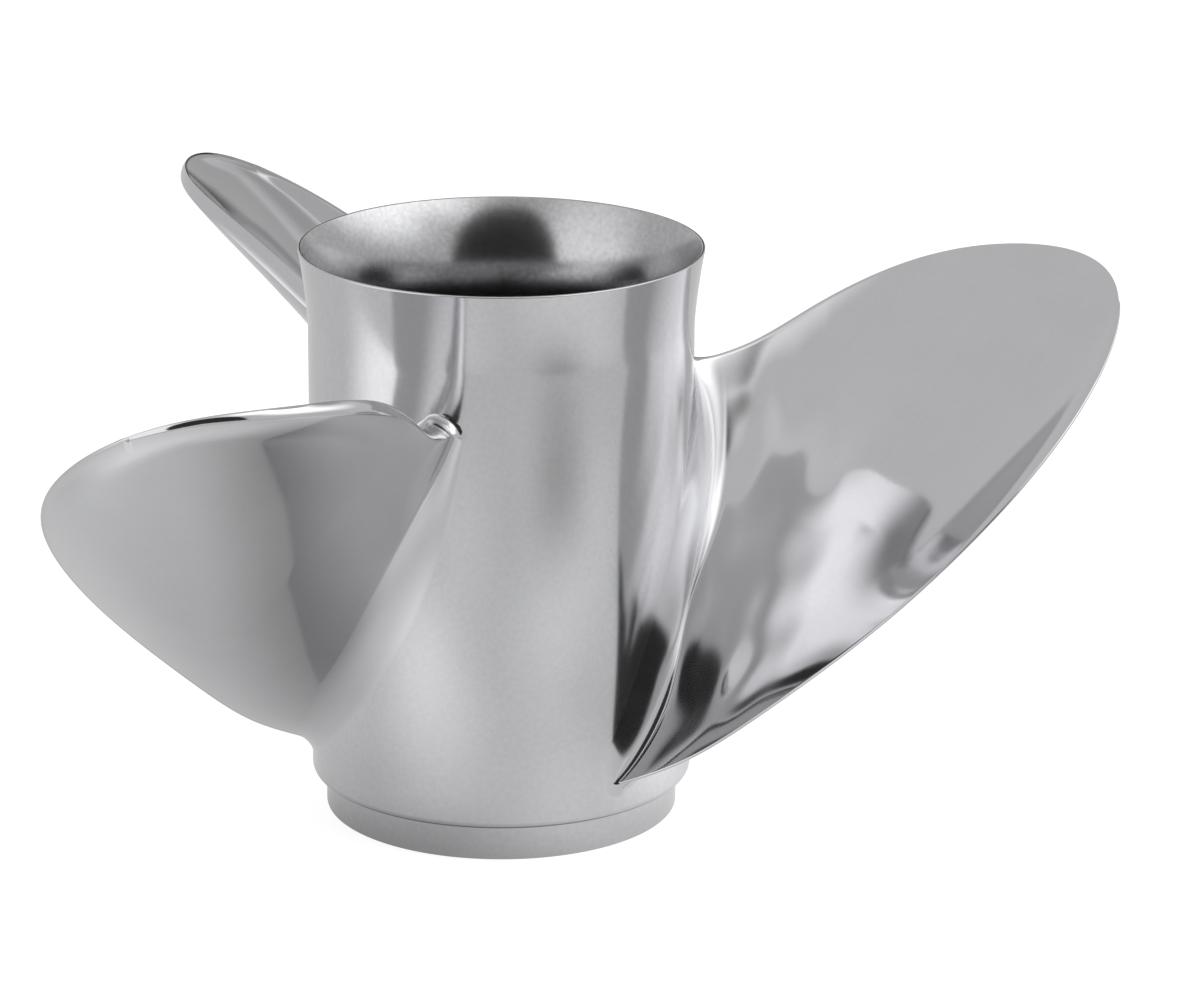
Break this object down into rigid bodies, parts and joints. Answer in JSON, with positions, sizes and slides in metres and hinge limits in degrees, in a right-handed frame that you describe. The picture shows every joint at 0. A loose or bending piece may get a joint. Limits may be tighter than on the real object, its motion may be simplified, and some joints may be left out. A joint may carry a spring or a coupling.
{
  "type": "outboard propeller",
  "caption": "Polished stainless outboard boat propeller: swept cupped blades on a flared exhaust hub, with a rubber bushing and a splined sleeve.",
  "frame": {"origin": "on the shaft's axis at the centroid of the solids, 85 mm above the forward face", "axes": "+Z along the shaft towards the exhaust end (aft), +X through the root of blade_1"},
  "size_m": [0.3261, 0.3437, 0.1827],
  "materials": {
    "polished_steel": "polished",
    "satin_steel": "satin",
    "rubber": "matte",
    "brass": "satin"
  },
  "bodies": {
    "root": {"hub_barrel": "polished_steel", "blade_1": "polished_steel", "blade_2": "polished_steel", "blade_3": "polished_steel", "inner_hub": "satin_steel", "rib_1": "satin_steel", "rib_2": "satin_steel", "rib_3": "satin_steel", "rubber_bushing": "rubber", "splined_sleeve": "brass"}
  },
  "joints": []
}
